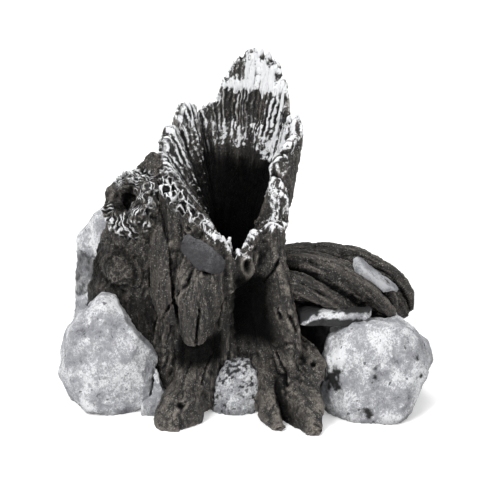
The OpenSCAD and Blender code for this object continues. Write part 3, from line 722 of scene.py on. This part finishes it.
def stump_white(at):
    """White paint: solid on the tall splinter but for its left edge, flecked on the others and the lip."""
    p, z, below, inside = at.points, at.z, at.below, at.inside
    streak = 0.5 + 0.5 * cloud(at.grain, np.array([0.9, 0.9, 9.0]))
    blotch = 0.5 + 0.5 * cloud(p, 3.0)
    speck = 0.5 + 0.5 * cloud(p, 1.5)
    # Behind: the tall splinter above an uneven edge, and specks along the ledge
    edge = 130 + 4 * cloud(at.around, 3.0, 3)
    bare = smooth((at.bearing - 66) / 12) * smooth((z - 133) / 5)
    tall = at.behind * smooth((z - edge) / 1.5) * (0.85 + 0.3 * streak) * (1 - 0.65 * bare)
    specks = at.behind * band(z + 4 * cloud(at.around, 7.0, 2), 108, 118, 3) * (1.3 * speck - 0.2)
    # On the right: the small splinters, flakes beside the tall one, the shoulder outside and the flap's edge
    others = at.sector(8, 28, 8) * inside * smooth(1 - below / 30) * (0.5 * blotch + 0.5 * speck + 0.1)
    flakes = at.sector(27, 13, 8) * inside * band(z, 105, 128, 5) * (0.9 * blotch + 0.6 * speck - 0.05)
    shoulder = at.sector(352, 24, 8) * at.outside * smooth(1 - below / 18) * (0.4 * blotch + 0.35 * speck)
    flap = at.sector(FLAP_BEARING, 28, 8) * smooth(1 - below / 9)
    flap *= (0.3 + 0.7 * inside) * (0.3 + 0.6 * speck)
    # On the left: tips of the fan, and flecks down the wall
    tips = at.fan * smooth(1 - below / 16) * (0.5 * blotch + 0.25)
    flecks = at.sector(160, 30, 10) * inside * smooth(1.1 - below / 42) * (speck - 0.12)
    # All round the rim but for the honeycomb, and on the front lip
    open_rim = (1 - 0.7 * at.sector(345, 16, 8)) * (1 - at.comb)
    crown = smooth(1 - below / 3.5) * (0.6 * speck + 0.1) * open_rim
    front = at.sector(FRONT_LIP_BEARING, 18, 6) * smooth(1 - below / 6) * (0.25 + 0.6 * speck)
    white = np.maximum.reduce([tall, specks, others, flakes, shoulder, flap, tips, flecks, crown, front])
    return np.clip(white, 0, 1)


def make_stump():
    """The trunk: furrowed bark, a fluted mouth with ragged splinters, a pitted lip and a black inside,
    which is painted shade.
    """
    stump = Casting("stump_shell", "burnt_stump", voxel=0.84, soften=3)
    bearing = polar(stump.points)[2]
    near_rim = np.abs(rim_z(bearing) - stump.points[:, 2]) < 6
    stump.refine((sector(bearing, COMB_BEARING, 26, 4) > 0) & near_rim, 2)
    at = StumpField(stump)
    stump.move(torn_stump(at))
    front_feet = smooth((22 - at.z) / 12) * smooth((at.radius - 28) / 6) * (at.points[:, 1] < 0)
    stump.melt(at.outside * front_feet, 70)
    # The bark stays flat under the air port's flange
    port = smooth((np.hypot(at.points[:, 0] - AXIS[0], at.z - PORT_H) - FLANGE_R) / 3)
    rear_foot = (at.points[:, 1] > 15) & (at.z < 36)
    stump.push((bark_carving(at) + mouth_carving(at)) * np.where(rear_foot, port, 1))
    stump.keep("grain", at.grain / FIBRE)
    stump.keep_relief(8)
    # Black painted shade in the mouth, the cave, under the plates, between toes, in holes, creases and
    # cracks
    stump.keep("dark_paint_and_shade", stump_painted_shade(at, smooth(-stump.relief(55))))
    stump.keep("lines", at.lines)
    stump.keep("gaps", at.gaps)
    stump.keep("phase", at.phase)
    stump.keep("comb", at.comb)
    stump.keep("cell", at.cell)
    stump.keep("white", stump_white(at))
    stump.done(burnt_resin)


def make_bark(node, name, lump, material=burnt_resin, swell=None, shade=None):
    """A small bonded piece of bark, with its grain, cracks and a worn edge."""
    bark = Casting(node, name, voxel=0.4, soften=8)
    p = bark.points
    grain = bark_place(p)
    crack = crack_at(p)
    height = 0.6 * grain_relief(grain) + lump * cloud(p, 5.0) + 0.2 * cloud(p, 1.2) - 1.6 * crack
    if swell is not None:
        height += swell(p)
    bark.push(height)
    bark.keep("grain", grain / FIBRE)
    bark.keep_relief(10)
    # Black painted shade in the cracks, with any darkening that the piece adds
    bark.keep("dark_paint_and_shade", crack if shade is None else np.maximum(crack, shade(p)))
    bark.done(material)


def side_plate_swell(p):
    """The left plate grows out of the burl on its left and is free only on its right."""
    return 1.7 * smooth((212 - polar(p)[2]) / 9)


def scale_shade(p):
    """The grey scale has a few dark pits and is darker towards its right end."""
    pits = smooth(cloud(p + 9, 2.2, 2) * 4 - 1.8)
    end = smooth((p[:, 0] + 8 + 1.5 * cloud(p, 3.0, 2)) / 3)
    return np.maximum(0.6 * end, 0.8 * pits)


# The burl: the broken branch's scar and the way it faces, the knot, and the run of the folds
SCAR = np.array([-51.8, -6.2, 91.8])
SCAR_R, SCAR_TALL, HOLE_R = 15, 1.15, 4.5
SCAR_BEARING, SCAR_PITCH = math.radians(232), math.radians(34)
KNOT, KNOT_R = np.array([-55.4, -15.0, 62.0]), 8.5
FOLD_ALONG, FOLD_ACROSS = np.array([-0.45, 0, -0.89]), np.array([0.89, 0, -0.45])


def scar_place(points):
    """Distance from the scar's middle, turn round it in degrees, and 1 near the scar, for every point."""
    level = math.cos(SCAR_PITCH)
    out = np.array([level * math.cos(SCAR_BEARING), level * math.sin(SCAR_BEARING), math.sin(SCAR_PITCH)])
    side = np.array([-math.sin(SCAR_BEARING), math.cos(SCAR_BEARING), 0])
    up = np.cross(out, side)
    away = points - SCAR
    far = np.hypot(away @ side, away @ up / SCAR_TALL) + 1.8 * cloud(points, 7.0, 2)
    turn = np.degrees(np.arctan2(away @ up, away @ side))
    return far, turn, smooth(1 - (np.linalg.norm(away, axis=1) - SCAR_R) / 4)


def make_burl():
    """The burl: lumpy bark, a knot, and a broken branch with a roll, gills and a fringe round its hole."""
    burl = Casting("left_burl", "branch_burl", voxel=0.52, soften=8)
    p = burl.points
    far, turn, near = scar_place(p)
    grain = p + 1.5 * np.column_stack([cloud(p + k, 9.0, 2) for k in (3, 41, 77)])
    height = cloud(p, 8.0) + 0.6 * ridges(grain, np.array([4.0, 4.0, 14.0])) + 0.3 * cloud(p, 1.5)
    # Folds run down and to the left, and a ring lies round the knot
    folded = np.column_stack([p @ FOLD_ACROSS, p[:, 1], p @ FOLD_ALONG])
    height += (1 - near) * 1.1 * ridges(folded, np.array([9.0, 9.0, 45.0]))
    knot = np.linalg.norm(p - KNOT, axis=1) + 2.0 * cloud(p, 6.0, 3)
    ring = np.exp(-((knot - KNOT_R) / 1.3) ** 2)
    height -= 0.7 * ring
    height += smooth((9 - knot) / 3) * (1.5 * ridges(p, 4.5, 3) - 1.2)
    # Round the hole: a thick roll on the right, gills below, a ragged fringe above
    roll = sector(turn, 12, 52, 15) * band(far, 6.0, 13, 1.5) * near
    gills = sector(turn, -108, 46, 12) * band(far, 7, 16, 2) * near
    fringe = sector(turn, 105, 34, 15) * band(far, 8.5, 14, 1.5) * near
    roll_phase = 5.2 * far + 0.05 * turn + 7.0 * cloud(p, 5.0, 4)
    gill_phase = np.radians(30 * turn) + 0.6 * far + 6.0 * cloud(p, 5.0, 4)
    phase = np.where(gills > roll, gill_phase, roll_phase)
    gaps = np.clip(roll + gills + 0.6 * fringe, 0, 1)
    lines = gaps * smooth(0.6 + 1.6 * cloud(p, 3.5, 3))
    height += 0.8 * roll + 0.6 * gills * np.sin(gill_phase) + fringe * 1.2 * cloud(p, 2.0, 2)
    height += near * 1.2 * cloud(p, 4.0, 2)
    burl.push(height)
    burl.keep("grain", grain / FIBRE)
    burl.keep_relief(10)
    # Black painted shade in the hole, in creases, in the ring round the knot, low down and left of the knot
    hole = smooth(1 - (far - HOLE_R) / 2) * near
    crease = smooth(-burl.relief(60))
    low = smooth((52 + 4 * cloud(p, 6.0, 3) - p[:, 2]) / 5)
    beside = smooth((-60 + 3 * cloud(p, 5.0, 2) - p[:, 0]) / 4) * band(p[:, 2], 55, 70, 6)
    dark_paint_and_shade = np.maximum.reduce([0.85 * hole, 0.9 * crease, 0.8 * ring, 0.6 * low, 0.8 * beside])
    burl.keep("dark_paint_and_shade", np.clip(dark_paint_and_shade, 0, 1))
    burl.keep("lines", lines * (1 - hole))
    burl.keep("gaps", gaps * (1 - hole))
    burl.keep("phase", phase)
    white = 0.4 * fringe + 0.1 * roll + (roll + gills + fringe) * 0.3 * cloud(p, 1.4)
    burl.keep("white", np.clip(white * (1 - hole), 0, 1))
    burl.done(burnt_resin)


# Ropes of wood in a limb, how far they lie from its middle line, and the places tried along that line
ROPES, ROPE_R, LIMB_STEPS = 4, 10, 80


def limb_place(points, path):
    """Distance along a limb, and direction from its middle line, for every point."""
    t = np.linspace(0, 1, LIMB_STEPS)[:, None]
    a, b, c, d = (np.array(k, float) for k in path)
    line = a * (1 - t) ** 3 + 3 * b * t * (1 - t) ** 2 + 3 * c * t ** 2 * (1 - t) + d * t ** 3
    nearest = np.argmin(((points[:, None, :] - line[None]) ** 2).sum(2), axis=1)
    run = np.concatenate([[0], np.cumsum(np.linalg.norm(np.diff(line, axis=0), axis=1))])
    away = points - line[nearest]
    return run[nearest], np.arctan2(away[:, 2], away[:, 1])


def make_limb(node, name, path, start, twist):
    """A limb: four ropes of wood that twist along it with black painted shade in the gaps between, and
    fine grain along them.
    """
    limb = Casting(node, name, voxel=0.5, soften=6)
    p = limb.points
    run, angle = limb_place(p, path)
    turned = angle - np.radians(start + twist * run / run.max())
    rope = np.column_stack([ROPE_R * np.cos(turned), ROPE_R * np.sin(turned), run])
    swing = ROPES / 2 * turned + 0.7 * cloud(rope, np.array([9.0, 9.0, 30.0]), 2)
    gap = 1 - np.abs(np.cos(swing)) ** 0.5
    height = 0.6 - 2.6 * gap + 0.7 * ridges(rope, np.array([3.2, 3.2, 40.0])) + 0.7 * cloud(p, 9.0)
    height += 0.45 * cloud(rope, np.array([1.4, 1.4, 12.0])) + 0.3 * cloud(p, 1.4)
    limb.push(height)
    limb.keep("grain", rope / FIBRE)
    limb.keep_relief(10)
    # Black painted shade in the gaps between the ropes
    limb.keep("dark_paint_and_shade", np.clip(0.97 * smooth(0.3 - limb.relief(50) / 0.7), 0, 1))
    limb.done(burnt_resin)


# Stones: heights of the rear left stone's seams, and the place and height of the ledge's pale edge

REAR_LEFT_SEAMS = (41, 57)
LEDGE_X, LEDGE_H = 36, 42.6


def make_boulder(node, name, voxel, soften, material=boulder_resin,
                 dark=(), shade=None, form=None, wear=1.0):
    """A stone: smooth and rough faces, worn edges, scattered pits, painted shade towards the floor, and
    dark patches.
    """
    stone = Casting(node, name, voxel, soften)
    if form is not None:
        stone.move(form(stone.points))
    p = stone.points
    rough = smooth(cloud(p, 13.0, 2) * 1.6 + 0.5)
    nearest = cells(p + 17, 5.0)[0]
    pits = smooth(1 - nearest / 0.25) * smooth(cloud(p, 16.0, 2) * 2 + 0.3)
    height = cloud(p, 11.0) + (0.3 + 0.7 * rough) * (0.55 * cloud(p, 2.6) + 0.25 * cloud(p, 1.2))
    stone.push(wear * (height - 0.8 * pits))
    stone.keep("relief", 0.7 * stone.relief(10) + 0.3 * stone.relief(40))
    # Painted shade darkens the lowest 4 mm towards the floor; dark patches and any darkening given for the
    # stone add to it
    dark_paint_and_shade = 0.45 * smooth((4 - p[:, 2]) / 4)
    for x, y, z, size in dark:
        far = np.linalg.norm(p - np.array([x, y, z]), axis=1) / size
        dark_paint_and_shade = np.maximum(dark_paint_and_shade, smooth(1.5 - far * 1.8 + 1.2 * cloud(p, 3.0, 3)))
    if shade is not None:
        dark_paint_and_shade = np.maximum(dark_paint_and_shade, shade(p))
    stone.keep("dark_paint_and_shade", np.clip(dark_paint_and_shade, 0, 1))
    stone.done(material)


def rear_left_shade(p):
    """The stone behind the burl is darker in the lower of its lumps, with black seams between them."""
    low, high = REAR_LEFT_SEAMS
    level = p[:, 2] + 5 * cloud(p, 14.0, 4)
    seams = np.maximum(smooth(1 - np.abs(level - high) / 1.6), smooth(1 - np.abs(level - low) / 1.8))
    near = smooth((28 - p[:, 1]) / 8)
    return near * np.maximum(0.92 * seams, band(level, low + 1, high - 1, 2) * (0.62 + 0.4 * cloud(p, 4.0)))


def ledge_shade(p):
    """The ledge is black with painted shade, but for a narrow pale upper edge that droops to the left."""
    x = p[:, 0] - LEDGE_X
    strip = LEDGE_H - np.where(x < 0, 0.04, 0.004) * x ** 2 + 0.6 * cloud(p, 4.0, 2)
    return 0.97 * smooth((np.abs(p[:, 2] - strip) - 0.9 + 0.9 * cloud(p, 3.0, 3)) / 0.7)


def front_dome(p):
    """The front stone is a dome with a round edge on the floor."""
    low, high = p.min(0), p.max(0)
    side = (p[:, 0] - (low[0] + high[0]) / 2) / (high[0] - low[0]) * 2
    domed = p.copy()
    domed[:, 2] *= 1 - 0.12 * side ** 2
    domed[:, 1] += 3.5 * side ** 2 * (high[1] - p[:, 1]) / (high[1] - low[1])
    return domed


def front_shade(p):
    """The front stone has black specks near its top and grey ones all over."""
    top = smooth((p[:, 2] - p[:, 2].max() + 9) / 6)
    black = 0.95 * smooth(cloud(p, 2.0, 3) * 4 - 1.0 + 1.4 * top)
    grey = 0.45 * smooth(cloud(p + 5, 1.3, 2) * 4 - 1.0)
    return np.maximum(black, grey)


def recess_shade(p):
    """The stone behind the limbs is black with painted shade towards the front, under the ledge."""
    return 0.95 * smooth((14 - p[:, 1]) / 8)


# Air unit: moulded pieces that keep their shape and get a finish

def finish_moulded(name, colour, roughness, grain_mm):
    """Moulded plastic or rubber: one colour with a fine even grain that softens its gloss."""
    material, tree, shader, place = new_finish(name)
    speck = add(tree, "ShaderNodeTexNoise", Vector=place, Scale=1 / (grain_mm * MM), Detail=2.0)
    tone = add(tree, "ShaderNodeMapRange", Value=speck, From_Min=0.3, From_Max=0.7, To_Min=0.42, To_Max=0.58)
    shaded = add(tree, "ShaderNodeMix", {"data_type": "RGBA", "blend_type": "OVERLAY"}, out=2, i0=0.6,
                 i6=paint(colour), i7=tone)
    tree.links.new(shaded, shader.inputs["Base Color"])
    shader.inputs["Roughness"].default_value = roughness
    bump = add(tree, "ShaderNodeBump", Strength=0.25, Distance=0.1 * MM, Height=speck)
    tree.links.new(bump, shader.inputs["Normal"])
    return material


def finish_air_stone():
    """Bonded mineral grains: blue grey, matt, with open pores between grains of about 0.8 mm."""
    material, tree, shader, place = new_finish("bonded_grains")
    grains = add(tree, "ShaderNodeTexVoronoi", out="Distance", Vector=place, Scale=1250.0)
    shade = add(tree, "ShaderNodeValToRGB", Fac=grains)
    grain, pore = shade.node.color_ramp.elements
    grain.color = paint("#8f9cb2")
    pore.color = paint("#4d5a70")
    tree.links.new(shade, shader.inputs["Base Color"])
    shader.inputs["Roughness"].default_value = 0.9
    bump = add(tree, "ShaderNodeBump", {"invert": True}, Strength=0.8, Distance=0.4 * MM, Height=grains)
    tree.links.new(bump, shader.inputs["Normal"])
    return material


def refinish(node, material):
    """Gives a CAD node that keeps its shape a better material."""
    for slot in frame["nodes"][node].material_slots:
        slot.material = material


# The limbs' middle lines
UPPER_LIMB = [(4.6, 7.3, 50), (37.2, 9.3, 56), (56.8, 11.3, 53), (73.6, 10.3, 32)]
LOWER_LIMB = [(11.5, -2.8, 49), (33.5, -3.8, 54), (50.3, -3.8, 48), (66, -1.8, 37)]
# Dark patches on the right boulder, each with its place and its size: painted shade beside the right
# leg and at the floor, and small dark spots
RIGHT_BOULDER_DARK = [
    (38, -30.7, 18, 8), (56.2, -34.8, 25, 2.6), (56.3, -35.6, 20.8, 1.6),
    (75, -29.7, 27.6, 2.2), (76.6, -30.1, 19.3, 1.8), (53, -38, 4.9, 4),
]

make_stump()
make_bark("bark_plate_left", "bark_plate_side", lump=0.35, swell=side_plate_swell)
make_bark("bark_plate_front", "bark_plate_fore", lump=0.25)
make_bark("lip_scale", "grey_scale", lump=0.25, material=grey_resin, shade=scale_shade)
make_burl()
make_limb("upper_limb", "rear_limb", UPPER_LIMB, start=21.7, twist=75)
make_limb("lower_limb", "front_limb", LOWER_LIMB, start=48.2, twist=128.8)
make_boulder("limb_stone", "wedged_stone", voxel=0.5, soften=10,
             material=slate_resin, wear=0.4)
make_boulder("ledge_stone", "ledge", voxel=0.5, soften=4, shade=ledge_shade)
make_boulder("left_boulder", "boulder_left", voxel=0.6, soften=7)
make_boulder("left_shard", "shard", voxel=0.45, soften=5)
make_boulder("rear_left_boulder", "boulder_behind_burl", voxel=0.75, soften=8, shade=rear_left_shade)
make_boulder("rear_boulder", "boulder_behind_limbs", voxel=0.75, soften=8, shade=recess_shade)
make_boulder("front_boulder", "boulder_front", voxel=0.45, soften=8, shade=front_shade, form=front_dome)
make_boulder("right_boulder", "boulder_right", voxel=0.6, soften=7, dark=RIGHT_BOULDER_DARK)
refinish("port_bush", finish_moulded("bush_plastic", "#141414", 0.5, 0.4))
refinish("air_bung", finish_moulded("bung_rubber", "#1a1a1a", 0.7, 0.6))
refinish("air_stem", finish_moulded("stem_plastic", "#cfd3cf", 0.35, 0.4))
refinish("stone_cap", finish_moulded("cap_plastic", "#2c4d86", 0.4, 0.4))
refinish("air_stone", finish_air_stone())
